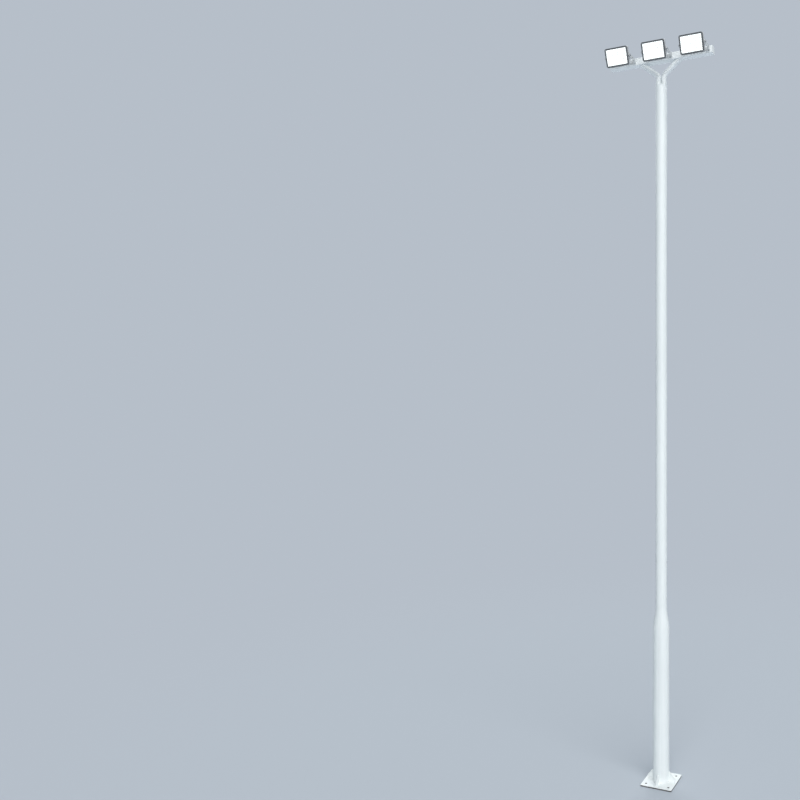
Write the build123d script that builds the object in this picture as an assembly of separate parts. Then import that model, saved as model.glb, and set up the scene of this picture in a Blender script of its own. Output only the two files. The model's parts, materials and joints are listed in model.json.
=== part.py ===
from build123d import *
from math import cos, radians, sin, tan
import os

# Base plate, its anchor holes and its cable hole
plate_side = 360.0
plate_thickness = 16.0
plate_corner_radius = 12.0
plate_edge_chamfer = 1.5
anchor_spacing = 260.0
anchor_hole_radius = 13.0
cable_hole_radius = 50.0

# Ribs that stiffen the foot of the mast
rib_height = 106.0
rib_foot_length = 72.0
rib_head_length = 6.0
rib_toe_height = 30.0
rib_thickness = 10.0

# Lower tube, reducer and upper tube
lower_radius = 90.0
lower_wall = 4.0
lower_length = 1680.0
reducer_length = 226.0
reducer_collar = 18.0
reducer_knuckle = 8.0
upper_radius = 63.5
upper_wall = 3.6
upper_length = 5766.0

# Access door in the back of the lower tube, with the frame behind it
door_width = 100.0
door_height = 400.0
door_corner_radius = 30.0
door_sill_height = 500.0
door_gap = 2.0
door_seat_width = 8.0
door_frame_margin = 16.0
door_frame_wall = 4.0

# Plate that closes the mast and carries the fork
top_plate_lip = 1.5
top_plate_thickness = 8.0

# Fork of two bent tubes under the crossarm
fork_tube_radius = 30.15
fork_tube_wall = 3.2
fork_root_gap = 1.0
fork_rise = 259.0
fork_reach = 212.0
fork_angle = 51.0
fork_bend_radius = 76.0

# Crossarm of square tube and its end caps
crossarm_length = 1194.0
crossarm_side = 80.0
crossarm_wall = 4.0
crossarm_corner_radius = 8.0
crossarm_least_radius = 1.0
end_cap_thickness = 3.0
end_cap_chamfer = 1.0
end_cap_skirt = 14.0
end_cap_skirt_wall = 2.5
end_cap_clearance = 0.3

# How far the floodlights look down at rest
lamp_tilt = 23.0

# Stirrup that carries a floodlight
stirrup_reach = 175.0
stirrup_end_margin = 24.0
stirrup_bar_width = 40.0
stirrup_bar_thickness = 4.0
stirrup_bend_radius = 8.0
stirrup_side_gap = 6.0

# Front frame and glass of a floodlight
lamp_width = 266.0
lamp_height = 192.0
lamp_front = 36.0
frame_depth = 12.0
frame_border = 16.0
frame_lip = 3.0
frame_corner_radius = 18.0
window_corner_radius = 6.0
frame_chamfer = 2.0
glass_thickness = 5.0
glass_overlap = 11.0
glass_clearance = 0.5

# Cast housing with its cooling fins
housing_inset = 2.0
housing_wall = 5.0
housing_floor = 5.0
housing_cavity_depth = 29.0
fin_count = 13
fin_thickness = 3.0
fin_height = 24.0
fin_end_slope = 16.0

# Pivot of the floodlight in its stirrup
pivot_radius = 5.0
pivot_clearance = 0.05
pivot_side_clearance = 0.3
pivot_boss_radius = 15.0
pivot_socket_depth = 12.0
washer_radius = 12.0
washer_thickness = 2.5
bolt_head_flats = 17.0
bolt_head_height = 7.0

# Light source: board with its emitters and the sloped reflector round them
board_margin = 4.0
board_thickness = 1.6
emitter_columns = 10
emitter_rows = 6
emitter_side = 9.0
emitter_height = 2.5
reflector_back_width = 210.0
reflector_back_height = 134.0
reflector_front_border = 6.0
reflector_wall = 1.2
reflector_edge_clearance = 0.5
reflector_glass_clearance = 0.3

# Driver box behind the fins and its cable gland
driver_width = 190.0
driver_height = 100.0
driver_depth = 36.0
driver_corner_radius = 10.0
driver_edge_chamfer = 3.0
gland_flats = 24.0
gland_nut_height = 8.0
gland_dome_radius = 10.0
gland_dome_height = 14.0
gland_dome_chamfer = 3.5
gland_bore_radius = 4.5

# Heights and places that follow from the sizes above
reducer_base = plate_thickness + lower_length
upper_base = reducer_base + reducer_length
top_plate_base = upper_base + upper_length
fork_base = top_plate_base + top_plate_thickness
crossarm_base = fork_base + fork_rise
pivot_height = crossarm_base + crossarm_side / 2
pivot_forward = crossarm_side / 2 + stirrup_reach
frame_back = lamp_front - frame_depth
glass_back = lamp_front - frame_lip - glass_thickness
housing_width = lamp_width - 2 * housing_inset
housing_height = lamp_height - 2 * housing_inset
housing_corner_radius = frame_corner_radius - housing_inset
floor_front = frame_back - housing_cavity_depth
fin_tip = floor_front - housing_floor - fin_height
cavity_width = housing_width - 2 * housing_wall
cavity_height = housing_height - 2 * housing_wall
cavity_corner_radius = housing_corner_radius - housing_wall
window_width = lamp_width - 2 * frame_border
window_height = lamp_height - 2 * frame_border
glass_width = window_width + 2 * glass_overlap
glass_height = window_height + 2 * glass_overlap
glass_corner_radius = cavity_corner_radius + (glass_width - cavity_width) / 2
board_front = floor_front + board_thickness
stirrup_inside = lamp_width / 2 + stirrup_side_gap
stirrup_outside = stirrup_inside + stirrup_bar_thickness
lamp_spacing = crossarm_length / 2 - stirrup_outside - stirrup_end_margin

LAMP_PLACES = {"left": -lamp_spacing, "middle": 0.0, "right": lamp_spacing}


def tube(radius, wall, base, length):
    """A round tube standing on the height base."""
    outline = Circle(radius) - Circle(radius - wall)
    return extrude(Plane.XY.offset(base) * outline, length)


def slab(width, height, corner_radius, back, front):
    """A rounded plate that faces forward, between two distances in front of the pivot."""
    outline = RectangleRounded(width, height, corner_radius)
    return extrude(Plane.XZ.offset(back) * outline, front - back)


def cross_pin(radius, start, end):
    """A round bar along the X axis."""
    return extrude(Plane.YZ.offset(start) * Circle(radius), end - start)


# Base plate
def base_plate():
    outline = RectangleRounded(plate_side, plate_side, plate_corner_radius)
    outline -= GridLocations(anchor_spacing, anchor_spacing, 2, 2) * Circle(anchor_hole_radius)
    outline -= Circle(cable_hole_radius)
    plate = extrude(outline, plate_thickness)
    return chamfer(plate.faces().sort_by(Axis.Z)[-1].outer_wire().edges(), plate_edge_chamfer)


def base_rib(direction):
    """One rib, standing on the plate and cut to the round of the tube."""
    foot = lower_radius + rib_foot_length
    head = lower_radius + rib_head_length
    toe = plate_thickness + rib_toe_height
    top = plate_thickness + rib_height
    outline = Polygon(
        (lower_radius / 2, plate_thickness),
        (foot, plate_thickness),
        (foot, toe),
        (head, top),
        (lower_radius / 2, top),
        align=None,
    )
    rib = extrude(Plane.XZ * outline, rib_thickness / 2, both=True)
    rib -= extrude(Circle(lower_radius), top + rib_height)
    return Rot(Z=direction) * rib


# Lower tube with its door
def door_block(margin):
    """The block that cuts the door's outline, grown by a margin, through the back of the tube."""
    width = door_width + 2 * margin
    height = door_height + 2 * margin
    middle = door_sill_height + door_height / 2
    outline = Pos(0, middle) * RectangleRounded(width, height, door_corner_radius + margin)
    return extrude(Plane.XZ * outline, -(lower_radius + lower_wall))


def lower_tube():
    return tube(lower_radius, lower_wall, plate_thickness, lower_length) - door_block(0)


def access_door():
    return tube(lower_radius, lower_wall, plate_thickness, lower_length) & door_block(-door_gap)


def door_backing_frame():
    inside = lower_radius - lower_wall
    sleeve = tube(inside, door_frame_wall, plate_thickness, lower_length)
    return (sleeve & door_block(door_frame_margin)) - door_block(-door_gap - door_seat_width)


# Reducer and upper tube
def reducer_form(base_radius, top_radius):
    """A cone with straight collars, its two knuckles eased by a short cone each."""
    cone_base = reducer_base + reducer_collar
    cone_top = upper_base - reducer_collar
    ease = reducer_knuckle * (base_radius - top_radius) / (cone_top - cone_base)
    outline = Polygon(
        (0, reducer_base),
        (base_radius, reducer_base),
        (base_radius, cone_base - reducer_knuckle),
        (base_radius - ease, cone_base + reducer_knuckle),
        (top_radius + ease, cone_top - reducer_knuckle),
        (top_radius, cone_top + reducer_knuckle),
        (top_radius, upper_base),
        (0, upper_base),
        align=None,
    )
    return revolve(Plane.XZ * outline, Axis.Z)


def reducer_cone():
    inside = reducer_form(lower_radius - lower_wall, upper_radius - upper_wall)
    return reducer_form(lower_radius, upper_radius) - inside


def upper_tube():
    return tube(upper_radius, upper_wall, upper_base, upper_length)


def pole_top_plate():
    outline = Circle(upper_radius + top_plate_lip)
    return extrude(Plane.XY.offset(top_plate_base) * outline, top_plate_thickness)


# Fork
def fork_path():
    """Centre line of the right arm, carried on through the crossarm's underside."""
    start = fork_tube_radius + fork_root_gap / 2
    turn = radians(fork_angle)
    bend_run = fork_bend_radius * (1 - cos(turn))
    bend_rise = fork_bend_radius * sin(turn)
    slope_run = fork_reach - start - bend_run
    straight = fork_rise - bend_rise - slope_run / tan(turn)
    overrun = 2 * fork_tube_radius
    knee = fork_base + straight
    upright = Line((start, fork_base), (start, knee))
    centre = (start + fork_bend_radius, knee)
    bend = CenterArc(centre, fork_bend_radius, 180, -fork_angle)
    slope_end = (fork_reach + overrun * tan(turn), crossarm_base + overrun)
    slope = Line(bend @ 1, slope_end)
    return Plane.XZ * (upright + bend + slope)


def fork_arm(side):
    path = fork_path()
    start = Pos(fork_tube_radius + fork_root_gap / 2, 0, fork_base)
    outline = Circle(fork_tube_radius) - Circle(fork_tube_radius - fork_tube_wall)
    arm = sweep(start * outline, path)
    room = 4 * (fork_reach + fork_tube_radius)
    above = Pos(0, 0, crossarm_base + room / 2) * Box(room, room, room)
    arm = arm - above
    return arm if side > 0 else mirror(arm, Plane.YZ)


# Crossarm
def crossarm_outline(inset):
    side = crossarm_side - 2 * inset
    return RectangleRounded(side, side, max(crossarm_corner_radius - inset, crossarm_least_radius))


def crossarm():
    plane = Plane.YZ.offset(-crossarm_length / 2)
    outline = crossarm_outline(0) - crossarm_outline(crossarm_wall)
    return Pos(0, 0, pivot_height) * extrude(plane * outline, crossarm_length)


def crossarm_end_cap(side):
    """A flat cap with a skirt that plugs into the tube."""
    face = Plane.YZ.offset(crossarm_length / 2)
    skirt_inset = crossarm_wall + end_cap_clearance
    skirt = crossarm_outline(skirt_inset) - crossarm_outline(skirt_inset + end_cap_skirt_wall)
    cap = extrude(face * crossarm_outline(0), end_cap_thickness)
    cap = chamfer(cap.faces().sort_by(Axis.X)[-1].edges(), end_cap_chamfer)
    cap += extrude(face * skirt, -end_cap_skirt)
    cap = Pos(0, 0, pivot_height) * cap
    return cap if side > 0 else mirror(cap, Plane.YZ)


# Stirrup, drawn about the pivot of a lamp that looks straight ahead
def stirrup():
    """A flat bar bent to a U, with round ends at the pivot and its web against the crossarm."""
    front = -2 * stirrup_bar_width
    depth = stirrup_reach - front
    middle = (stirrup_reach + front) / 2
    outer = Pos(0, middle) * Rectangle(2 * stirrup_outside, depth)
    outer = fillet(outer.vertices().group_by(Axis.Y)[-1], stirrup_bend_radius + stirrup_bar_thickness)
    inner = Pos(0, middle - stirrup_bar_thickness) * Rectangle(2 * stirrup_inside, depth)
    inner = fillet(inner.vertices().group_by(Axis.Y)[-1], stirrup_bend_radius)
    bar = extrude(outer - inner, stirrup_bar_width / 2, both=True)
    side_view = Circle(stirrup_bar_width / 2)
    side_view += Pos(stirrup_reach / 2, 0) * Rectangle(stirrup_reach, stirrup_bar_width)
    bar &= extrude(Plane.YZ * side_view, stirrup_outside + stirrup_bar_width, both=True)
    return bar - cross_pin(pivot_radius + pivot_clearance, -2 * stirrup_outside, 2 * stirrup_outside)


# Floodlight, drawn about its pivot and looking straight ahead
def housing():
    """A cast tray with fins on its back, a land for the glass and a boss at each pivot."""
    body = slab(housing_width, housing_height, housing_corner_radius, fin_tip, frame_back)
    back_edges = body.faces().sort_by(Axis.Y)[-1].edges().filter_by(Axis.X)
    body = chamfer(back_edges, fin_end_slope)
    land = slab(glass_width, glass_height, glass_corner_radius, frame_back, glass_back)
    cavity = slab(cavity_width, cavity_height, cavity_corner_radius, floor_front, glass_back)
    body = body + land - cavity
    fin_pitch = (housing_width - fin_thickness) / (fin_count - 1)
    slot = Box(fin_pitch - fin_thickness, 2 * fin_height, 2 * housing_height)
    for place in GridLocations(fin_pitch, 1, fin_count - 1, 1):
        body -= place * Pos(0, -fin_tip, 0) * slot
    boss_end = stirrup_inside - pivot_side_clearance
    boss_root = housing_width / 2 - fin_thickness
    for side in (1, -1):
        boss = cross_pin(pivot_boss_radius, side * boss_root, side * boss_end)
        socket_end = side * (boss_end - pivot_socket_depth)
        body += boss
        body -= cross_pin(pivot_radius + pivot_clearance, socket_end, side * stirrup_outside)
    return body


def front_frame():
    """The frame whose lip holds the glass against the housing."""
    frame = slab(lamp_width, lamp_height, frame_corner_radius, frame_back, lamp_front)
    frame = chamfer(frame.faces().sort_by(Axis.Y)[0].edges(), frame_chamfer)
    frame -= slab(window_width, window_height, window_corner_radius, frame_back, lamp_front)
    pocket_width = glass_width + 2 * glass_clearance
    pocket_height = glass_height + 2 * glass_clearance
    pocket_radius = glass_corner_radius + glass_clearance
    pocket_front = lamp_front - frame_lip
    return frame - slab(pocket_width, pocket_height, pocket_radius, frame_back, pocket_front)


def glass():
    return slab(glass_width, glass_height, glass_corner_radius, glass_back, glass_back + glass_thickness)


def led_board():
    """The board with its grid of emitters."""
    width = cavity_width - 2 * board_margin
    height = cavity_height - 2 * board_margin
    board = slab(width, height, cavity_corner_radius, floor_front, board_front)
    column_pitch = reflector_back_width / emitter_columns
    row_pitch = reflector_back_height / emitter_rows
    grid = GridLocations(column_pitch, row_pitch, emitter_columns, emitter_rows)
    emitters = Sketch() + grid * Rectangle(emitter_side, emitter_side)
    return board + extrude(Plane.XZ.offset(board_front) * emitters, emitter_height)


def reflector_form(grow, front):
    """The sloped inside of the reflector, grown outwards by its wall where asked."""
    front_width = cavity_width - 2 * reflector_front_border
    front_height = cavity_height - 2 * reflector_front_border
    back_outline = Rectangle(reflector_back_width + 2 * grow, reflector_back_height + 2 * grow)
    front_outline = Rectangle(front_width + 2 * grow, front_height + 2 * grow)
    return loft([Plane.XZ.offset(board_front) * back_outline, Plane.XZ.offset(front) * front_outline])


def reflector():
    """Four sloped walls that stand on the board, with a flange under the glass."""
    front = glass_back - reflector_glass_clearance
    flange_width = cavity_width - 2 * reflector_edge_clearance
    flange_height = cavity_height - 2 * reflector_edge_clearance
    flange = slab(flange_width, flange_height, cavity_corner_radius, front - reflector_wall, front)
    return reflector_form(reflector_wall, front) + flange - reflector_form(0, front)


def driver_box():
    """The closed box of the driver, seated on the fin tips."""
    back = fin_tip - driver_depth
    box = slab(driver_width, driver_height, driver_corner_radius, back, fin_tip)
    return chamfer(box.faces().sort_by(Axis.Y)[-1].edges(), driver_edge_chamfer)


def cable_gland():
    """The gland under the driver box: a hexagon and a dome round the cable's bore."""
    nut = extrude(RegularPolygon(gland_flats / 2, 6, major_radius=False), -gland_nut_height)
    tip = gland_nut_height + gland_dome_height
    dome = extrude(Plane.XY.offset(-gland_nut_height) * Circle(gland_dome_radius), -gland_dome_height)
    dome = chamfer(dome.faces().sort_by(Axis.Z)[0].edges(), gland_dome_chamfer)
    gland = nut + dome - extrude(Circle(gland_bore_radius), -tip)
    return Pos(0, driver_depth / 2 - fin_tip, -driver_height / 2) * gland


def pivot_bolts():
    """The two bolts on which the floodlight turns, each with its washer and hexagon head."""
    washer_start = stirrup_outside + pivot_side_clearance
    head_start = washer_start + washer_thickness
    shank_end = stirrup_inside - pivot_side_clearance - pivot_socket_depth
    head = RegularPolygon(bolt_head_flats / 2, 6, major_radius=False)
    bolt = cross_pin(pivot_radius, shank_end, head_start)
    bolt += cross_pin(washer_radius, washer_start, head_start)
    bolt += extrude(Plane.YZ.offset(head_start) * head, bolt_head_height)
    return Compound([bolt, mirror(bolt, Plane.YZ)])


def save(node, shape):
    export_step(shape, f"parts/{node}.step")


def save_mast():
    save("base_plate", base_plate())
    for name, direction in {"right": 0, "back": 90, "left": 180, "front": 270}.items():
        save(f"base_rib_{name}", base_rib(direction))
    save("lower_tube", lower_tube())
    save("access_door", access_door())
    save("door_backing_frame", door_backing_frame())
    save("reducer_cone", reducer_cone())
    save("upper_tube", upper_tube())
    save("pole_top_plate", pole_top_plate())
    save("crossarm", crossarm())
    for name, side in {"left": -1, "right": 1}.items():
        save(f"fork_arm_{name}", fork_arm(side))
        save(f"crossarm_end_cap_{name}", crossarm_end_cap(side))


def save_floodlights():
    tilted = {
        "housing": housing(),
        "front_frame": front_frame(),
        "glass": glass(),
        "led_board": led_board(),
        "reflector": reflector(),
        "driver_box": driver_box(),
        "cable_gland": cable_gland(),
        "pivot_bolts": pivot_bolts(),
    }
    bar = stirrup()
    for name, across in LAMP_PLACES.items():
        pivot = Pos(across, -pivot_forward, pivot_height)
        save(f"lamp_{name}_stirrup", pivot * bar)
        for piece, shape in tilted.items():
            save(f"lamp_{name}_{piece}", pivot * Rot(X=lamp_tilt) * shape)


os.makedirs("parts", exist_ok=True)
save_mast()
save_floodlights()
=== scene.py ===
import json
import math

import bpy
from mathutils import Matrix, Vector


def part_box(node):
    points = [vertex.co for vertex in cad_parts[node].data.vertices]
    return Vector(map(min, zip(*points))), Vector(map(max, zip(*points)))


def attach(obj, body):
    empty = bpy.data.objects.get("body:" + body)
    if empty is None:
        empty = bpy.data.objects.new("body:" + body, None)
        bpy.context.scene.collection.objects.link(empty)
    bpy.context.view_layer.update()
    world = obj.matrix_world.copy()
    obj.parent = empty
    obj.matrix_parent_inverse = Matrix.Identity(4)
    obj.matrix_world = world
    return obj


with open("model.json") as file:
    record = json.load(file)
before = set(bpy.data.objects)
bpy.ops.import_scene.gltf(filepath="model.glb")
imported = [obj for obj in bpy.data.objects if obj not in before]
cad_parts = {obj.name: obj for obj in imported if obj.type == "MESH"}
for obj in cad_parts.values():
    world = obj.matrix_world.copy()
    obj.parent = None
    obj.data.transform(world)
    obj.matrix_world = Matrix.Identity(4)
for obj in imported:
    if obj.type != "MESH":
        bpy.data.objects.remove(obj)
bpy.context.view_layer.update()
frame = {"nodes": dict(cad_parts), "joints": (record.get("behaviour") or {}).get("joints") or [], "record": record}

# Camera that took the photograph: azimuth in degrees, distance and height in metres, lens and sensor in
# millimetres, and shift as a share of the picture's width
CAMERA_AZIMUTH = 20.5
CAMERA_DISTANCE = 8.03
CAMERA_HEIGHT = 4.22
CAMERA_LENS = 32.625
CAMERA_SHIFT = -0.3266
SENSOR_WIDTH = 36.0

# Backdrop and floor: their colours as seen and the floor's colour as it lights the mast; where the floor
# starts and ends fading into the backdrop, and half its width, in metres
BACKDROP = (0.470, 0.520, 0.585)
FLOOR = (0.480, 0.522, 0.576)
FLOOR_BOUNCE = (0.630, 0.670, 0.730)
FLOOR_FADE_START = 3.0
FLOOR_FADE_END = 11.0
FLOOR_HALF = 60.0

# Light: colour and strength of the sky as it lights the mast, colours of the wide lights, and colour of the
# light from the emitters
SKY_LIGHT = (0.78, 0.91, 1.0)
SKY_STRENGTH = 0.30
WARM_LIGHT = (1.0, 0.985, 0.965)
COOL_LIGHT = (0.97, 0.985, 1.0)
EMITTER_LIGHT = (0.97, 1.0, 1.0)

# How far the floodlights look down at rest, and the slope of the fork's arms, in degrees
LAMP_TILT = 23.0
FORK_SLOPE = 51.0

# Heights on the mast, in metres: top of the base plate's side faces, below its chamfer, and the height over
# which the painted shadow on them fades; where splashed dirt starts to fade and has faded; where the painted
# light that lightens the foot starts to fade and has faded; where the painted light that lightens the head
# starts, and the height over which it comes in
PLATE_EDGE = 0.0145
PLATE_SHADOW_FADE = 0.003
SPLASH_LOW = 0.016
SPLASH_HIGH = 0.16
FOOT_LIGHT_FULL = 0.03
FOOT_FADE = 0.09
HEAD_LIGHT_FROM = 7.62
HEAD_LIGHT_FADE = 0.15

# Weld beads, in metres: their radii, how far a butt weld rises above its tubes, and the ripples' pitch
FOOT_BEAD = 0.0045
RIB_BEAD = 0.0032
BUTT_BEAD = 0.0050
BUTT_RISE = 0.0014
FORK_BEAD = 0.0030
RIPPLE_PITCH = 0.0045

# Weld beads, as shares of their radius: depth of the ripples, size of an open bead at its very ends, and
# how far the middle of a bead lies off the joint that it follows
RIPPLE_DEPTH = 0.14
BEAD_TIP = 0.15
FOOT_LIFT = 0.35
FORK_ROOT_LIFT = 0.3
FORK_HEAD_SHIFT = 0.2
FORK_HEAD_DROP = 0.4

# A point of a rib's bead lies on the rib's side or on its toe from these shares of the rib's half thickness
# and of its reach
RIB_SIDE = 0.99
RIB_TOE = 0.9999

# Sides of a bead, points of a bead to a ripple, steps of a rounded corner, sides of small round shapes, and
# sides of shapes with a hexagon, a multiple of six
BEAD_SIDES = 8
RIPPLE_POINTS = 4
CORNER_STEPS = 8
SMALL_SIDES = 24
HEX_SIDES = 36

# Angles in degrees from which an edge looks sharp: on most pieces, on lenses and gland grips, and on welds
MACHINED_EDGE = 40.0
MOULDED_EDGE = 60.0
WELDED_EDGE = 180.0

# Flat bar of the stirrups, and the bolts that hold it to the crossarm, in metres
STIRRUP_THICKNESS = 0.004
ARM_BOLT_SPACING = 0.120
ARM_BOLT_RADIUS = 0.006
ARM_BOLT_FLATS = 0.018
ARM_BOLT_HEAD = 0.0075
ARM_WASHER_RADIUS = 0.012
ARM_WASHER_HEIGHT = 0.0025
ARM_BOLT_END = 0.008
THREAD_PITCH = 0.00175

# Hexagon heads: radius of the flat top as a share of the width across flats, and the angle in degrees at
# which the corners are turned off
HEX_TOP = 0.46
HEX_CHAMFER = 30.0

# Threads: where the first groove starts and how deep a groove is, as shares of the pitch
GROOVE_START = 0.25
GROOVE_DEPTH = 0.4

# Innermost ring of a socket's floor, as a share of the head's radius
SOCKET_CENTRE = 0.01

# Screws of the floodlight's frame, with their number in a row, and of its driver box, in metres
FRAME_SCREW_RADIUS = 0.0034
FRAME_SCREW_HEIGHT = 0.0016
FRAME_SCREW_INSET = 0.009
FRAME_SCREW_COLUMNS = 3
DRIVER_SCREW_RADIUS = 0.0045
DRIVER_SCREW_HEIGHT = 0.0024
DRIVER_SCREW_INSET = 0.013

# Bands round the floodlight: gasket under the frame and lip of the driver box's lid, in metres
GASKET_PROUD = 0.0012
GASKET_WIDTH = 0.0018
GASKET_MARGIN = 0.004
LID_PROUD = 0.0014
LID_WIDTH = 0.0060
LID_INSET = 0.0040
HOUSING_CORNER = 0.016
DRIVER_CORNER = 0.010

# Section of a band: how proud its edges stand, as a share of its middle, and how wide each of its slopes
# is, as a share of its depth
BAND_EDGE = 0.7
BAND_SLOPE = 0.25

# Lenses over the emitters: their columns and rows; in metres their pitches and sizes and the thickness of
# the board below them; and the steps of a dome and the flat on its top, as a share of the lens's radius
LENS_COLUMNS = 10
LENS_ROWS = 6
LENS_PITCH_ACROSS = 0.0210
LENS_PITCH_UP = 0.02233
LENS_RADIUS = 0.0078
LENS_HEIGHT = 0.0056
LENS_RIM = 0.0006
BOARD_THICKNESS = 0.0016
DOME_STEPS = 6
DOME_TOP = 0.12

# Locks of the access door, in metres
LOCK_RADIUS = 0.011
LOCK_HEIGHT = 0.0036
LOCK_SOCKET = 0.008
LOCK_INSET = 0.045

# Grip round the cable gland: number of its flutes and of sides to a flute; and in metres its radius, half
# the depth of the flutes, the heights at which they start and end, its own height, and how high it sits
GLAND_FLUTES = 24
FLUTE_SIDES = 4
GRIP_RADIUS = 0.0100
FLUTE_HALF_DEPTH = 0.0005
FLUTE_START = 0.0005
FLUTE_END = 0.0075
GRIP_HEIGHT = 0.0080
GRIP_LIFT = 0.0050

LAMPS = ("left", "middle", "right")

# Sockets of a node that mixes two colours
MIX_SHARE = 0
MIX_FIRST = 6
MIX_SECOND = 7
MIX_RESULT = 2

# Rotations that turn a shape's top to the front and to the back
FORWARD = Matrix.Rotation(math.pi / 2, 4, "X")
BACKWARD = Matrix.Rotation(-math.pi / 2, 4, "X")


# Meshes are built as a list of points and a list of faces
def hexagon(flats, angle):
    """Distance from the middle of a hexagon to its side, at an angle."""
    sector = math.pi / 3
    return flats / 2 / math.cos((angle + sector / 2) % sector - sector / 2)


def turned(rings, steps=32):
    """A closed solid about Z. A ring is a height and a radius, which may be a function of the angle."""
    points = [(0.0, 0.0, rings[0][0])]
    for height, radius in rings:
        for step in range(steps):
            angle = 2 * math.pi * step / steps
            size = radius(angle) if callable(radius) else radius
            points.append((size * math.cos(angle), size * math.sin(angle), height))
    points.append((0.0, 0.0, rings[-1][0]))
    faces = []
    for step in range(steps):
        following = (step + 1) % steps
        faces.append((0, 1 + following, 1 + step))
        for ring in range(len(rings) - 1):
            low = 1 + ring * steps
            high = low + steps
            faces.append((low + step, low + following, high + following, high + step))
        last = 1 + (len(rings) - 1) * steps
        faces.append((last + step, last + following, len(points) - 1))
    return points, faces


def swept(path, section, closed):
    """A tube of a section along a path. Each path entry is (point, outward, sideways, scale)."""
    points = []
    for centre, outward, sideways, scale in path:
        for u, v in section:
            points.append(centre + outward * (u * scale) + sideways * (v * scale))
    count = len(section)
    faces = []
    for step in range(len(path) if closed else len(path) - 1):
        low = step * count
        high = ((step + 1) % len(path)) * count
        for side in range(count):
            following = (side + 1) % count
            faces.append((low + side, low + following, high + following, high + side))
    if not closed:
        faces.append(tuple(reversed(range(count))))
        faces.append(tuple(range(len(points) - count, len(points))))
    return points, faces


def moved(shape, matrix):
    points, faces = shape
    return [matrix @ Vector(point) for point in points], faces


def joined(shapes):
    points, faces = [], []
    for more_points, more_faces in shapes:
        start = len(points)
        points += more_points
        faces += [tuple(start + corner for corner in face) for face in more_faces]
    return points, faces


def add_piece(name, shapes, body, material, sharp=MACHINED_EDGE):
    """Makes one piece of the object from shapes, and lets it ride on a body."""
    points, faces = joined(shapes)
    mesh = bpy.data.meshes.new(name)
    mesh.from_pydata([tuple(point) for point in points], [], faces)
    mesh.validate()
    mesh.materials.append(material)
    mesh.shade_smooth()
    mesh.set_sharp_from_angle(angle=math.radians(sharp))
    piece = bpy.data.objects.new(name, mesh)
    bpy.context.scene.collection.objects.link(piece)
    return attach(piece, body)


# Small parts
def washer(radius, height):
    edge = height / 5
    return turned([(0, radius - edge), (edge, radius), (height - edge, radius), (height, radius - edge)])


def hex_head(flats, height):
    """A hexagon whose top corners are turned off."""
    steps = HEX_SIDES
    top = HEX_TOP * flats
    slope = math.tan(math.radians(HEX_CHAMFER))
    base, shoulder, rim = [], [], []
    for step in range(steps):
        angle = 2 * math.pi * step / steps
        size = hexagon(flats, angle)
        drop = (size - top) * slope
        base.append((size * math.cos(angle), size * math.sin(angle), 0))
        shoulder.append((size * math.cos(angle), size * math.sin(angle), height - drop))
        rim.append((top * math.cos(angle), top * math.sin(angle), height))
    points = base + shoulder + rim + [(0, 0, 0), (0, 0, height)]
    faces = []
    for step in range(steps):
        following = (step + 1) % steps
        faces.append((len(points) - 2, following, step))
        for low in (0, steps):
            faces.append((low + step, low + following, low + steps + following, low + steps + step))
        faces.append((2 * steps + step, 2 * steps + following, len(points) - 1))
    return points, faces


def thread(radius, length):
    """The end of a bolt, with a groove at each turn of its thread."""
    rings = [(0, radius)]
    turns = int(length / THREAD_PITCH) - 1
    for turn in range(turns):
        start = (turn + GROOVE_START) * THREAD_PITCH
        rings += [(start, radius), (start + THREAD_PITCH / 2, radius - GROOVE_DEPTH * THREAD_PITCH)]
    rings += [(turns * THREAD_PITCH, radius), (length, radius - THREAD_PITCH / 2)]
    return turned(rings, SMALL_SIDES)


def socket_screw(radius, height, socket):
    """A low round head with a hexagon socket."""
    edge = height / 4
    floor = height / 8
    return turned([
        (0, radius),
        (height - edge, radius),
        (height, radius - edge),
        (height, lambda a: hexagon(socket, a)),
        (floor, lambda a: hexagon(socket, a)),
        (floor, SOCKET_CENTRE * radius),
    ], HEX_SIDES)


def circle_section():
    angles = [2 * math.pi * side / BEAD_SIDES for side in range(BEAD_SIDES)]
    return [(math.cos(angle), math.sin(angle)) for angle in angles]


def bead(points, outwards, radius, closed):
    """A weld bead along evenly spaced points, with the ripples that each pool of metal leaves."""
    path = []
    travelled = 0.0
    for index, (point, outward) in enumerate(zip(points, outwards)):
        before = points[index - 1] if index or closed else point
        after = points[(index + 1) % len(points)] if closed or index + 1 < len(points) else point
        along = (after - before).normalized()
        travelled += (point - before).length
        ripple = abs(math.sin(math.pi * travelled / RIPPLE_PITCH))
        sideways = along.cross(outward).normalized()
        fullness = 1.0 if closed else round_end(points, index, radius)
        path.append((point, outward, sideways, radius * fullness * (1 - RIPPLE_DEPTH * (1 - ripple))))
    return swept(path, circle_section(), closed)


def round_end(points, index, radius):
    """How full an open bead is at one of its points: its two ends are round."""
    nearest = min((points[index] - points[0]).length, (points[index] - points[-1]).length)
    missing = max(0.0, 1.0 - nearest / radius)
    return max(BEAD_TIP, math.sqrt(1.0 - missing ** 2))


def spaced(corners, step):
    """Points at about one step from each other along straight runs."""
    points = []
    for start, end in zip(corners, corners[1:]):
        count = max(1, round((end - start).length / step))
        points += [start.lerp(end, i / count) for i in range(count)]
    return points + [corners[-1]]


def ring_bead(centre, across, deep, radius, rise=0.0):
    """A bead round an ellipse that lies flat."""
    length = math.pi * (across + deep)
    steps = RIPPLE_POINTS * round(length / RIPPLE_PITCH)
    points, outwards = [], []
    for step in range(steps):
        angle = 2 * math.pi * step / steps
        outward = Vector((math.cos(angle), math.sin(angle), 0.0))
        points.append(centre + Vector((across * outward.x, deep * outward.y, rise)))
        outwards.append(outward)
    return bead(points, outwards, radius, True)


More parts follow.
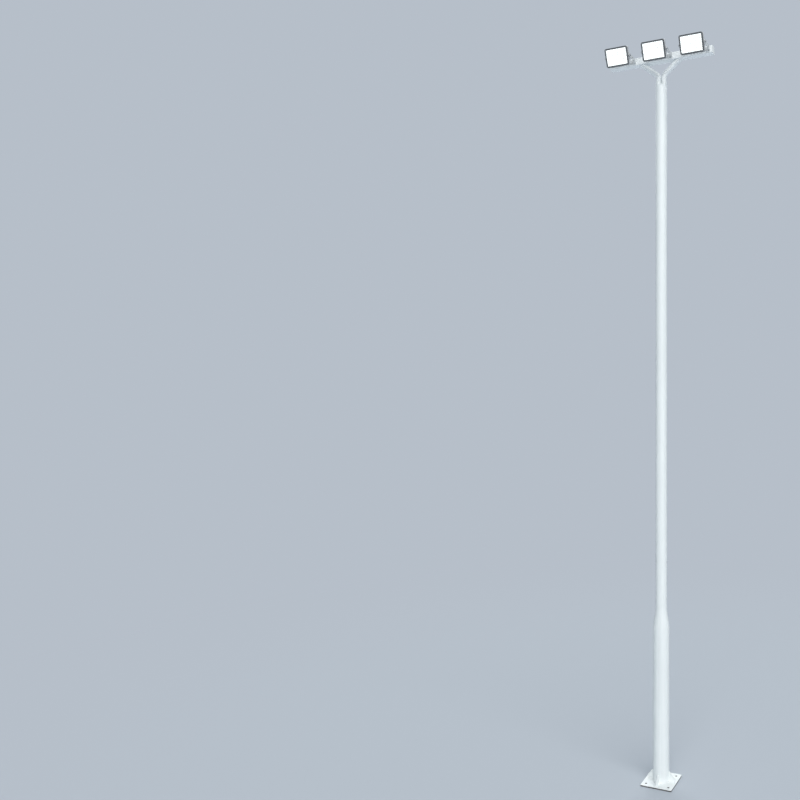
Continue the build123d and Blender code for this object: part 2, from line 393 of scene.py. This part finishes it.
def rounded_outline(width, height, corner):
    """Points and outward directions round a rectangle with rounded corners."""
    outline = []
    for quarter, (side, up) in enumerate(((1, 1), (-1, 1), (-1, -1), (1, -1))):
        middle_x = side * (width / 2 - corner)
        middle_z = up * (height / 2 - corner)
        for step in range(CORNER_STEPS + 1):
            angle = math.pi / 2 * (quarter + step / CORNER_STEPS)
            dx, dz = math.cos(angle), math.sin(angle)
            outline.append((middle_x + corner * dx, middle_z + corner * dz, (dx, dz)))
    return outline


def band(width, height, corner, back, front, proud):
    """A strip round a rounded box that faces forward, standing proud of its sides."""
    depth = front - back
    section = [
        (-proud, depth),
        (BAND_EDGE * proud, depth),
        (proud, (1 - BAND_SLOPE) * depth),
        (proud, BAND_SLOPE * depth),
        (BAND_EDGE * proud, 0),
        (-proud, 0),
    ]
    path = []
    for x, z, (dx, dz) in rounded_outline(width, height, corner):
        path.append((Vector((x, -back, z)), Vector((dx, 0, dz)), Vector((0, -1, 0)), 1.0))
    return swept(path, section, True)


# Materials
class Finish:
    """A material with helpers for the nodes that most finishes share."""

    def __init__(self, name, colour, roughness, metallic=0.0):
        self.material = bpy.data.materials.new(name)
        self.material.use_nodes = True
        self.tree = self.material.node_tree
        self.shader = self.tree.nodes["Principled BSDF"]
        self.shader.inputs["Base Color"].default_value = (*colour, 1.0)
        self.shader.inputs["Roughness"].default_value = roughness
        self.shader.inputs["Metallic"].default_value = metallic
        self.place = self.node("ShaderNodeTexCoord").outputs["Object"]

    def node(self, kind, **settings):
        made = self.tree.nodes.new(kind)
        for key, value in settings.items():
            setattr(made, key, value)
        return made

    def link(self, output, target):
        self.tree.links.new(output, target)

    def stretched(self, scale):
        """The object's place, scaled along each axis."""
        mapping = self.node("ShaderNodeMapping")
        mapping.inputs["Scale"].default_value = scale
        self.link(self.place, mapping.inputs["Vector"])
        return mapping.outputs["Vector"]

    def noise(self, scale, detail=3.0, stretch=(1.0, 1.0, 1.0)):
        noise = self.node("ShaderNodeTexNoise")
        noise.inputs["Scale"].default_value = scale
        noise.inputs["Detail"].default_value = detail
        self.link(self.stretched(stretch), noise.inputs["Vector"])
        return noise.outputs["Fac"]

    def cells(self, scale):
        cells = self.node("ShaderNodeTexVoronoi")
        cells.inputs["Scale"].default_value = scale
        self.link(self.place, cells.inputs["Vector"])
        return cells

    def ranged(self, value, low, high, to_low, to_high):
        """A value from one range to another, clamped."""
        ranged = self.node("ShaderNodeMapRange")
        ranged.inputs["From Min"].default_value = low
        ranged.inputs["From Max"].default_value = high
        ranged.inputs["To Min"].default_value = to_low
        ranged.inputs["To Max"].default_value = to_high
        self.link(value, ranged.inputs["Value"])
        return ranged.outputs["Result"]

    def times(self, first, second):
        product = self.node("ShaderNodeMath", operation="MULTIPLY")
        self.link(first, product.inputs[0])
        self.link(second, product.inputs[1])
        return product.outputs["Value"]

    def height(self):
        """Height above the foot of the mast."""
        split = self.node("ShaderNodeSeparateXYZ")
        self.link(self.place, split.inputs["Vector"])
        return split.outputs["Z"]

    def mix(self, share, first, second):
        """A colour between two, each a colour or an output."""
        mix = self.node("ShaderNodeMix", data_type="RGBA")
        self.link(share, mix.inputs[MIX_SHARE])
        for colour, target in ((first, mix.inputs[MIX_FIRST]), (second, mix.inputs[MIX_SECOND])):
            if isinstance(colour, tuple):
                target.default_value = (*colour, 1.0)
            else:
                self.link(colour, target)
        return mix.outputs[MIX_RESULT]

    def paint(self, colour):
        self.link(colour, self.shader.inputs["Base Color"])

    def rough(self, value):
        self.link(value, self.shader.inputs["Roughness"])

    def bumps(self, *layers):
        """Bump from several heights, each with its strength and its depth in metres."""
        last = None
        for height, strength, depth in layers:
            bump = self.node("ShaderNodeBump")
            bump.inputs["Strength"].default_value = strength
            bump.inputs["Distance"].default_value = depth
            self.link(height, bump.inputs["Height"])
            if last:
                self.link(last, bump.inputs["Normal"])
            last = bump.outputs["Normal"]
        self.link(last, self.shader.inputs["Normal"])


def white_paint():
    """White paint with faint rain streaks, painted light on foot and head, and painted shadow on the base plate's
    side faces.
    """
    # painted light: a lighter white that stands in for light falling on the head and on the foot
    painted_light_white = (0.875, 0.912, 0.918)
    white = (0.822, 0.866, 0.868)
    shade = (0.785, 0.828, 0.834)
    streak = (0.710, 0.750, 0.755)
    dust = (0.600, 0.580, 0.540)
    # painted shadow: near-black colour for the base plate's side faces and the insides of its holes
    painted_shadow = (0.050, 0.046, 0.044)
    finish = Finish("white_paint", white, 0.25)
    cloud = finish.ranged(finish.noise(1.8, 2.0), 0.30, 0.70, 0.0, 1.0)
    colour = finish.mix(cloud, white, shade)
    rain = finish.ranged(finish.noise(1.0, 1.0, (34.0, 34.0, 0.45)), 0.50, 0.85, 0.0, 0.60)
    colour = finish.mix(rain, colour, streak)
    # painted light: the head is painted lighter, standing in for the floodlights' glow on it
    head = finish.ranged(finish.height(), HEAD_LIGHT_FROM, HEAD_LIGHT_FROM + HEAD_LIGHT_FADE, 0.0, 0.9)
    colour = finish.mix(head, colour, painted_light_white)
    # painted light: the foot and the base plate's top are painted lighter, standing in for the light on them
    foot = finish.ranged(finish.height(), FOOT_LIGHT_FULL, FOOT_FADE, 0.85, 0.0)
    colour = finish.mix(foot, colour, painted_light_white)
    low = finish.ranged(finish.height(), SPLASH_LOW, SPLASH_HIGH, 0.10, 0.0)
    splash = finish.ranged(finish.noise(38.0, 6.0), 0.45, 0.75, 0.0, 1.0)
    colour = finish.mix(finish.times(low, splash), colour, dust)
    # Painted shadow on the base plate's side faces below the chamfer, broken up a little by noise
    edge = finish.ranged(finish.height(), PLATE_EDGE - PLATE_SHADOW_FADE, PLATE_EDGE, 1.0, 0.0)
    shadow_breakup = finish.ranged(finish.noise(60.0, 4.0), 0.30, 0.60, 0.80, 1.0)
    finish.paint(finish.mix(finish.times(edge, shadow_breakup), colour, painted_shadow))
    finish.rough(finish.ranged(finish.noise(9.0, 3.0), 0.3, 0.7, 0.34, 0.44))
    finish.shader.inputs["Coat Weight"].default_value = 0.10
    finish.shader.inputs["Coat Roughness"].default_value = 0.25
    finish.bumps((finish.noise(320.0, 2.0), 0.05, 0.0005), (finish.noise(11.0, 1.0), 0.03, 0.003))
    return finish.material


def cap_plastic():
    """Moulded plastic of the crossarm's plugs, with a fine grain."""
    pale = (0.760, 0.795, 0.805)
    worn = (0.715, 0.745, 0.752)
    finish = Finish("cap_plastic", pale, 0.5)
    finish.paint(finish.mix(finish.ranged(finish.noise(40.0, 5.0), 0.4, 0.7, 0.0, 1.0), pale, worn))
    finish.rough(finish.ranged(finish.noise(90.0), 0.3, 0.7, 0.42, 0.58))
    finish.bumps((finish.noise(900.0, 2.0), 0.25, 0.0003))
    return finish.material


def stirrup_steel():
    """Galvanised flat bar under a thin pale coat: faint spangles and darker rain marks."""
    grey = (0.520, 0.545, 0.555)
    pale = (0.610, 0.635, 0.645)
    mark = (0.380, 0.395, 0.400)
    finish = Finish("stirrup_steel", grey, 0.42, 0.15)
    spangle = finish.cells(130.0)
    share = finish.ranged(spangle.outputs["Distance"], 0.0, 0.9, 0.0, 1.0)
    colour = finish.mix(share, grey, pale)
    rain = finish.ranged(finish.noise(3.0, 6.0, (12.0, 12.0, 2.0)), 0.54, 0.82, 0.0, 0.5)
    finish.paint(finish.mix(rain, colour, mark))
    finish.rough(finish.ranged(finish.noise(60.0), 0.3, 0.7, 0.34, 0.52))
    finish.bumps((finish.noise(420.0, 3.0), 0.18, 0.0004))
    return finish.material


def lamp_casting():
    """Die-cast aluminium with a fine silver-grey powder coat, dusty in patches."""
    grey = (0.520, 0.540, 0.552)
    pale = (0.600, 0.620, 0.630)
    dust = (0.440, 0.430, 0.410)
    finish = Finish("lamp_casting", grey, 0.5, 0.2)
    colour = finish.mix(finish.ranged(finish.noise(26.0, 5.0), 0.35, 0.7, 0.0, 1.0), grey, pale)
    settled = finish.ranged(finish.noise(70.0, 6.0, (1.0, 1.0, 0.4)), 0.54, 0.80, 0.0, 0.5)
    finish.paint(finish.mix(settled, colour, dust))
    finish.rough(finish.ranged(finish.noise(120.0), 0.3, 0.7, 0.42, 0.60))
    finish.bumps((finish.noise(1400.0, 2.0), 0.35, 0.0004), (finish.noise(60.0, 2.0), 0.08, 0.0010))
    return finish.material


def lamp_frame():
    """Dark powder-coated frame, paler in patches."""
    dark = (0.105, 0.110, 0.116)
    soft = (0.145, 0.151, 0.157)
    finish = Finish("lamp_frame", dark, 0.42, 0.1)
    finish.paint(finish.mix(finish.ranged(finish.noise(45.0, 6.0), 0.4, 0.72, 0.0, 1.0), dark, soft))
    finish.rough(finish.ranged(finish.noise(150.0), 0.3, 0.7, 0.34, 0.52))
    finish.bumps((finish.noise(1600.0, 2.0), 0.30, 0.0003))
    return finish.material


def lamp_glass():
    """Clear toughened glass with a faint film of dust."""
    finish = Finish("lamp_glass", (0.965, 0.985, 0.980), 0.02)
    finish.shader.inputs["Transmission Weight"].default_value = 1.0
    finish.shader.inputs["IOR"].default_value = 1.45
    finish.rough(finish.ranged(finish.noise(30.0, 6.0), 0.45, 0.80, 0.015, 0.09))
    return finish.material


def led_board():
    """White solder mask and its emitters: all of it glows, the emitters as lamps and the mask with painted light
    from them.
    """
    white = (0.86, 0.87, 0.85)
    shade = (0.78, 0.79, 0.77)
    finish = Finish("led_board", white, 0.45)
    finish.paint(finish.mix(finish.ranged(finish.noise(200.0, 4.0), 0.4, 0.7, 0.0, 1.0), white, shade))
    # the emitters glow as lamps; on the solder mask round them the same glow is painted light
    finish.shader.inputs["Emission Color"].default_value = (*EMITTER_LIGHT, 1.0)
    finish.shader.inputs["Emission Strength"].default_value = 0.45
    finish.bumps((finish.noise(1500.0, 2.0), 0.15, 0.0002))
    return finish.material


def led_lens():
    """Lenses over the emitters, lit from behind."""
    finish = Finish("led_lens", (0.92, 0.94, 0.94), 0.12)
    finish.shader.inputs["Coat Weight"].default_value = 0.5
    finish.shader.inputs["Emission Color"].default_value = (*EMITTER_LIGHT, 1.0)
    finish.shader.inputs["Emission Strength"].default_value = 1.1
    finish.rough(finish.ranged(finish.noise(300.0), 0.3, 0.7, 0.08, 0.18))
    return finish.material


def reflector_metal():
    """Bright rolled aluminium with a fine hammered pattern, and a painted glow that stands in for the emitters'
    light on it.
    """
    finish = Finish("reflector", (0.86, 0.87, 0.88), 0.22, 0.9)
    dimple = finish.cells(260.0).outputs["Distance"]
    finish.rough(finish.ranged(finish.noise(80.0), 0.3, 0.7, 0.16, 0.30))
    # painted light: the reflector glows though it is no lamp, standing in for the emitters' light that it reflects
    finish.shader.inputs["Emission Color"].default_value = (*EMITTER_LIGHT, 1.0)
    finish.shader.inputs["Emission Strength"].default_value = 0.30
    finish.bumps((dimple, 0.35, 0.0008))
    return finish.material


def gland_plastic():
    """Black nylon of glands and gaskets."""
    black = (0.018, 0.018, 0.020)
    faded = (0.045, 0.045, 0.047)
    finish = Finish("gland_plastic", black, 0.55)
    finish.paint(finish.mix(finish.ranged(finish.noise(80.0, 5.0), 0.4, 0.75, 0.0, 1.0), black, faded))
    finish.rough(finish.ranged(finish.noise(200.0), 0.3, 0.7, 0.48, 0.66))
    finish.bumps((finish.noise(1200.0, 2.0), 0.25, 0.0003))
    return finish.material


def bolt_steel():
    """Stainless bolts with turning marks."""
    bright = (0.56, 0.57, 0.58)
    dull = (0.40, 0.40, 0.40)
    finish = Finish("bolt_steel", bright, 0.28, 1.0)
    marks = finish.noise(30.0, 4.0, (1.0, 60.0, 60.0))
    tint = finish.ranged(finish.noise(120.0, 4.0), 0.4, 0.75, 0.0, 1.0)
    finish.paint(finish.mix(tint, bright, dull))
    finish.rough(finish.ranged(marks, 0.3, 0.7, 0.20, 0.42))
    finish.bumps((marks, 0.08, 0.0002))
    return finish.material


MATERIALS = {
    "white_paint": white_paint(),
    "cap_plastic": cap_plastic(),
    "stirrup_steel": stirrup_steel(),
    "lamp_casting": lamp_casting(),
    "lamp_frame": lamp_frame(),
    "lamp_glass": lamp_glass(),
    "led_board": led_board(),
    "reflector": reflector_metal(),
    "gland_plastic": gland_plastic(),
    "bolt_steel": bolt_steel(),
}
LENS_MATERIAL = led_lens()


def dress_nodes():
    """Gives each piece of the frame the finish of its slot in the record."""
    for subpart in frame["record"]["subparts"]:
        node = frame["nodes"][subpart["node"]]
        for slot in node.material_slots:
            slot.material = MATERIALS[subpart["material_slot"]]


# Camera, floor and light
def add_camera():
    azimuth = math.radians(CAMERA_AZIMUTH)
    data = bpy.data.cameras.new("camera")
    data.sensor_width = SENSOR_WIDTH
    data.lens = CAMERA_LENS
    data.shift_x = CAMERA_SHIFT
    camera = bpy.data.objects.new("camera", data)
    bpy.context.scene.collection.objects.link(camera)
    back = Vector((math.sin(azimuth), -math.cos(azimuth), 0.0))
    camera.location = back * CAMERA_DISTANCE + Vector((0.0, 0.0, CAMERA_HEIGHT))
    camera.rotation_mode = "QUATERNION"
    camera.rotation_quaternion = (-back).to_track_quat("-Z", "Y")
    bpy.context.scene.camera = camera


def seen_directly(tree):
    """One for camera, glossy and transmission rays, and nothing for the rest."""
    path = tree.nodes.new("ShaderNodeLightPath")
    total = path.outputs["Is Camera Ray"]
    for name in ("Is Glossy Ray", "Is Transmission Ray"):
        larger = tree.nodes.new("ShaderNodeMath")
        larger.operation = "MAXIMUM"
        tree.links.new(total, larger.inputs[0])
        tree.links.new(path.outputs[name], larger.inputs[1])
        total = larger.outputs["Value"]
    return total


def add_world():
    world = bpy.data.worlds.new("world")
    world.use_nodes = True
    tree = world.node_tree
    background = tree.nodes["Background"]
    background.inputs["Color"].default_value = (*SKY_LIGHT, 1.0)
    background.inputs["Strength"].default_value = SKY_STRENGTH
    backdrop = tree.nodes.new("ShaderNodeBackground")
    backdrop.inputs["Color"].default_value = (*BACKDROP, 1.0)
    backdrop.inputs["Strength"].default_value = 1.0
    mix = tree.nodes.new("ShaderNodeMixShader")
    tree.links.new(seen_directly(tree), mix.inputs["Fac"])
    tree.links.new(background.outputs["Background"], mix.inputs[1])
    tree.links.new(backdrop.outputs["Background"], mix.inputs[2])
    tree.links.new(mix.outputs["Shader"], tree.nodes["World Output"].inputs["Surface"])
    bpy.context.scene.world = world


def floor_material():
    """A pale matt floor that passes into the backdrop's colour with distance from the mast."""
    material = bpy.data.materials.new("floor")
    material.use_nodes = True
    tree = material.node_tree
    shader = tree.nodes["Principled BSDF"]
    shader.inputs["Roughness"].default_value = 0.9
    tint = tree.nodes.new("ShaderNodeMix")
    tint.data_type = "RGBA"
    tint.inputs[MIX_FIRST].default_value = (*FLOOR_BOUNCE, 1.0)
    tint.inputs[MIX_SECOND].default_value = (*FLOOR, 1.0)
    tree.links.new(seen_directly(tree), tint.inputs[MIX_SHARE])
    tree.links.new(tint.outputs[MIX_RESULT], shader.inputs["Base Color"])
    place = tree.nodes.new("ShaderNodeTexCoord")
    length = tree.nodes.new("ShaderNodeVectorMath")
    length.operation = "LENGTH"
    tree.links.new(place.outputs["Object"], length.inputs[0])
    fade = tree.nodes.new("ShaderNodeMapRange")
    fade.interpolation_type = "SMOOTHSTEP"
    fade.inputs["From Min"].default_value = FLOOR_FADE_START
    fade.inputs["From Max"].default_value = FLOOR_FADE_END
    tree.links.new(length.outputs["Value"], fade.inputs["Value"])
    glow = tree.nodes.new("ShaderNodeEmission")
    glow.inputs["Color"].default_value = (*BACKDROP, 1.0)
    share = tree.nodes.new("ShaderNodeMath")
    share.operation = "MULTIPLY"
    tree.links.new(fade.outputs["Result"], share.inputs[0])
    tree.links.new(seen_directly(tree), share.inputs[1])
    mix = tree.nodes.new("ShaderNodeMixShader")
    tree.links.new(share.outputs["Value"], mix.inputs["Fac"])
    tree.links.new(shader.outputs["BSDF"], mix.inputs[1])
    tree.links.new(glow.outputs["Emission"], mix.inputs[2])
    tree.links.new(mix.outputs["Shader"], tree.nodes["Material Output"].inputs["Surface"])
    return material


def add_floor():
    mesh = bpy.data.meshes.new("floor")
    corners = [
        (-FLOOR_HALF, -FLOOR_HALF, 0.0),
        (FLOOR_HALF, -FLOOR_HALF, 0.0),
        (FLOOR_HALF, FLOOR_HALF, 0.0),
        (-FLOOR_HALF, FLOOR_HALF, 0.0),
    ]
    mesh.from_pydata(corners, [], [(0, 1, 2, 3)])
    mesh.materials.append(floor_material())
    floor = bpy.data.objects.new("floor", mesh)
    bpy.context.scene.collection.objects.link(floor)


def add_light(name, azimuth, elevation, spread, strength, colour):
    """A soft light from far away, even over the whole height of the mast. Its angles are in degrees."""
    data = bpy.data.lights.new(name, "SUN")
    data.angle = math.radians(spread)
    data.energy = strength
    data.color = colour
    light = bpy.data.objects.new(name, data)
    bpy.context.scene.collection.objects.link(light)
    turn = math.radians(azimuth)
    rise = math.radians(elevation)
    level = math.cos(rise)
    towards = Vector((level * math.sin(turn), -level * math.cos(turn), math.sin(rise)))
    light.rotation_mode = "QUATERNION"
    light.rotation_quaternion = towards.to_track_quat("Z", "Y")


def add_lights():
    add_light("key", 38.0, 44.0, 54.0, 1.62, WARM_LIGHT)
    add_light("front", 31.0, 4.0, 90.0, 1.30, WARM_LIGHT)
    add_light("back", 203.0, 41.0, 60.0, 1.22, COOL_LIGHT)


# Welds of the mast
def foot_weld():
    low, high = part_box("lower_tube")
    radius = (high.x - low.x) / 2
    lift = FOOT_LIFT * FOOT_BEAD
    return ring_bead(Vector((0, 0, low.z)), radius + lift, radius + lift, FOOT_BEAD, lift)


def rib_weld(node):
    """One bead that runs down the tube, out along the plate, round the toe and back."""
    low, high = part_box(node)
    tube_low, tube_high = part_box("lower_tube")
    tube_radius = (tube_high.x - tube_low.x) / 2
    reach = max(abs(low.x), abs(high.x), abs(low.y), abs(high.y))
    half = min(high.x - low.x, high.y - low.y) / 2
    centre = (low + high) / 2
    outward = Vector((centre.x, centre.y, 0)).normalized()
    side = Vector((-outward.y, outward.x, 0))
    up = Vector((0, 0, 1))
    root = math.sqrt(tube_radius ** 2 - half ** 2)
    corners = [
        outward * root + side * half + up * high.z,
        outward * root + side * half + up * low.z,
        outward * reach + side * half + up * low.z,
        outward * reach - side * half + up * low.z,
        outward * root - side * half + up * low.z,
        outward * root - side * half + up * high.z,
    ]
    points = spaced(corners, RIPPLE_PITCH / RIPPLE_POINTS)
    outwards = []
    for point in points:
        away = Vector((0, 0, 0))
        if abs(point.dot(side)) > RIB_SIDE * half:
            away += side * math.copysign(1.0, point.dot(side))
        if point.dot(outward) > RIB_TOE * reach:
            away += outward
        outwards.append(away.normalized())
    return bead(points, outwards, RIB_BEAD, False)


def butt_weld(node, top):
    """A low bead round the joint between two tubes."""
    low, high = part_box(node)
    height = high.z if top else low.z
    radius = (high.x - low.x) / 2 - BUTT_BEAD + BUTT_RISE
    return ring_bead(Vector((0, 0, height)), radius, radius, BUTT_BEAD)


def fork_welds():
    """Beads round the roots of the fork's arms and where they meet the crossarm."""
    shapes = []
    for side in ("left", "right"):
        low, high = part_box(f"fork_arm_{side}")
        radius = (high.y - low.y) / 2
        across = radius / math.cos(math.radians(FORK_SLOPE))
        direction = 1 if side == "right" else -1
        root_x = low.x + radius if side == "right" else high.x - radius
        head_x = high.x - across if side == "right" else low.x + across
        root = Vector((root_x, 0, low.z))
        shapes.append(ring_bead(root, radius, radius, FORK_BEAD, FORK_ROOT_LIFT * FORK_BEAD))
        head = Vector((head_x + direction * FORK_HEAD_SHIFT * FORK_BEAD, 0, high.z))
        shapes.append(ring_bead(head, across, radius, FORK_BEAD, -FORK_HEAD_DROP * FORK_BEAD))
    return shapes


def add_mast_details():
    paint = MATERIALS["white_paint"]
    add_piece("base_weld", [foot_weld()], "mast", paint, WELDED_EDGE)
    ribs = [rib_weld(f"base_rib_{name}") for name in ("front", "back", "left", "right")]
    add_piece("base_rib_welds", ribs, "mast", paint, WELDED_EDGE)
    rings = [
        butt_weld("lower_tube", True),
        butt_weld("upper_tube", False),
        butt_weld("upper_tube", True),
    ]
    add_piece("mast_ring_welds", rings, "mast", paint, WELDED_EDGE)
    add_piece("fork_welds", fork_welds(), "mast", paint, WELDED_EDGE)


def add_door_locks():
    """Two lock screws in the access door."""
    low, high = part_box("access_door")
    shapes = []
    for height in (low.z + LOCK_INSET, high.z - LOCK_INSET):
        place = Matrix.Translation((0, high.y - LOCK_HEIGHT / 4, height)) @ BACKWARD
        shapes.append(moved(socket_screw(LOCK_RADIUS, LOCK_HEIGHT, LOCK_SOCKET), place))
    add_piece("door_lock_screws", shapes, "mast", MATERIALS["bolt_steel"])


# Floodlights
class Floodlight:
    """One floodlight. Its own axes are X across, -Y forward and Z up, about its pivot."""

    def __init__(self, name):
        joint = next(j for j in frame["joints"] if j["name"] == f"lamp_{name}_tilt")
        self.body = f"lamp_{name}"
        self.pivot = Vector(joint["pos_m"])
        self.matrix = Matrix.Translation(self.pivot) @ Matrix.Rotation(math.radians(LAMP_TILT), 4, "X")

    def span(self, piece):
        """Lowest and highest corner of one of its nodes, along the floodlight's own axes."""
        back = self.matrix.inverted()
        points = [back @ v.co for v in frame["nodes"][f"{self.body}_{piece}"].data.vertices]
        low = Vector([min(p[axis] for p in points) for axis in range(3)])
        high = Vector([max(p[axis] for p in points) for axis in range(3)])
        return low, high

    def add(self, name, shapes, slot, material, sharp=MACHINED_EDGE):
        """Makes one piece of the floodlight from shapes along its own axes."""
        placed = [moved(shape, self.matrix) for shape in shapes]
        add_piece(f"{self.body}_{name}", placed, self.body, material, sharp)


def add_frame_screws(lamp):
    low, high = lamp.span("front_frame")
    shapes = []
    across = high.x - FRAME_SCREW_INSET
    up = high.z - FRAME_SCREW_INSET
    for row in (-up, up):
        for column in range(FRAME_SCREW_COLUMNS):
            x = -across + 2 * across * column / (FRAME_SCREW_COLUMNS - 1)
            place = Matrix.Translation((x, low.y, row)) @ FORWARD
            head = socket_screw(FRAME_SCREW_RADIUS, FRAME_SCREW_HEIGHT, FRAME_SCREW_RADIUS)
            shapes.append(moved(head, place))
    lamp.add("frame_screws", shapes, "bolt_steel", MATERIALS["bolt_steel"])


def add_gasket(lamp):
    low, high = lamp.span("housing")
    frame_high = lamp.span("front_frame")[1]
    width = 2 * min(frame_high.x, high.x) - GASKET_MARGIN
    height = high.z - low.z
    back = -frame_high.y - GASKET_WIDTH
    strip = band(width, height, HOUSING_CORNER, back, -frame_high.y, GASKET_PROUD)
    lamp.add("gasket", [strip], "gland_plastic", MATERIALS["gland_plastic"])


def lens():
    """A low dome on a thin rim."""
    rings = [(0, LENS_RADIUS + LENS_RIM), (LENS_RIM, LENS_RADIUS + LENS_RIM), (LENS_RIM, LENS_RADIUS)]
    for step in range(1, DOME_STEPS):
        angle = math.pi / 2 * step / DOME_STEPS
        height = LENS_RIM + (LENS_HEIGHT - LENS_RIM) * math.sin(angle)
        rings.append((height, LENS_RADIUS * math.cos(angle)))
    rings.append((LENS_HEIGHT, DOME_TOP * LENS_RADIUS))
    return turned(rings, SMALL_SIDES)


def add_lenses(lamp):
    board_back = lamp.span("led_board")[1].y
    board_front = board_back - BOARD_THICKNESS
    shapes = []
    for column in range(LENS_COLUMNS):
        for row in range(LENS_ROWS):
            x = (column - (LENS_COLUMNS - 1) / 2) * LENS_PITCH_ACROSS
            z = (row - (LENS_ROWS - 1) / 2) * LENS_PITCH_UP
            shapes.append(moved(lens(), Matrix.Translation((x, board_front, z)) @ FORWARD))
    lamp.add("lenses", shapes, "led_board", LENS_MATERIAL, MOULDED_EDGE)


def add_driver_details(lamp):
    """The lip and the screws of the driver box's lid."""
    low, high = lamp.span("driver_box")
    back = -high.y + LID_INSET
    lip = band(high.x - low.x, high.z - low.z, DRIVER_CORNER, back, back + LID_WIDTH, LID_PROUD)
    lamp.add("driver_lid_lip", [lip], "lamp_casting", MATERIALS["lamp_casting"])
    screws = []
    for side in (-1, 1):
        for up in (low.z + DRIVER_SCREW_INSET, high.z - DRIVER_SCREW_INSET):
            x = side * (high.x - DRIVER_SCREW_INSET)
            head = socket_screw(DRIVER_SCREW_RADIUS, DRIVER_SCREW_HEIGHT, DRIVER_SCREW_RADIUS)
            screws.append(moved(head, Matrix.Translation((x, high.y, up)) @ BACKWARD))
    lamp.add("driver_screws", screws, "bolt_steel", MATERIALS["bolt_steel"])


def add_gland_grip(lamp):
    """The fluted grip round the gland's dome."""
    low, high = lamp.span("cable_gland")
    centre = (low + high) / 2

    def fluted(angle):
        return GRIP_RADIUS + FLUTE_HALF_DEPTH * (1 + math.cos(GLAND_FLUTES * angle))

    rings = [(0, GRIP_RADIUS), (FLUTE_START, fluted), (FLUTE_END, fluted), (GRIP_HEIGHT, GRIP_RADIUS)]
    grip = turned(rings, FLUTE_SIDES * GLAND_FLUTES)
    place = Matrix.Translation((centre.x, centre.y, low.z + GRIP_LIFT))
    plastic = MATERIALS["gland_plastic"]
    lamp.add("gland_grip", [moved(grip, place)], "gland_plastic", plastic, MOULDED_EDGE)


def add_arm_bolts(lamp):
    """Bolts through the stirrup's web and the crossarm, with their washers, nuts and ends."""
    arm_low, arm_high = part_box("crossarm")
    height = (arm_low.z + arm_high.z) / 2
    web_front = arm_low.y - STIRRUP_THICKNESS
    shapes = []
    for side in (-1, 1):
        x = lamp.pivot.x + side * ARM_BOLT_SPACING / 2
        front = Matrix.Translation((x, web_front, height)) @ FORWARD
        rear = Matrix.Translation((x, arm_high.y, height)) @ BACKWARD
        shapes.append(moved(washer(ARM_WASHER_RADIUS, ARM_WASHER_HEIGHT), front))
        shapes.append(moved(washer(ARM_WASHER_RADIUS, ARM_WASHER_HEIGHT), rear))
        on_washer = Matrix.Translation((0, 0, ARM_WASHER_HEIGHT))
        shapes.append(moved(hex_head(ARM_BOLT_FLATS, ARM_BOLT_HEAD), front @ on_washer))
        shapes.append(moved(hex_head(ARM_BOLT_FLATS, ARM_BOLT_HEAD), rear @ on_washer))
        on_nut = Matrix.Translation((0, 0, ARM_WASHER_HEIGHT + ARM_BOLT_HEAD - THREAD_PITCH))
        shapes.append(moved(thread(ARM_BOLT_RADIUS, ARM_BOLT_END), rear @ on_nut))
    add_piece(f"{lamp.body}_arm_bolts", shapes, "mast", MATERIALS["bolt_steel"])


def add_floodlight_details():
    for name in LAMPS:
        lamp = Floodlight(name)
        add_frame_screws(lamp)
        add_gasket(lamp)
        add_lenses(lamp)
        add_driver_details(lamp)
        add_gland_grip(lamp)
        add_arm_bolts(lamp)


bpy.context.scene.view_settings.view_transform = "Standard"
add_camera()
add_world()
add_floor()
add_lights()
dress_nodes()
add_mast_details()
add_door_locks()
add_floodlight_details()
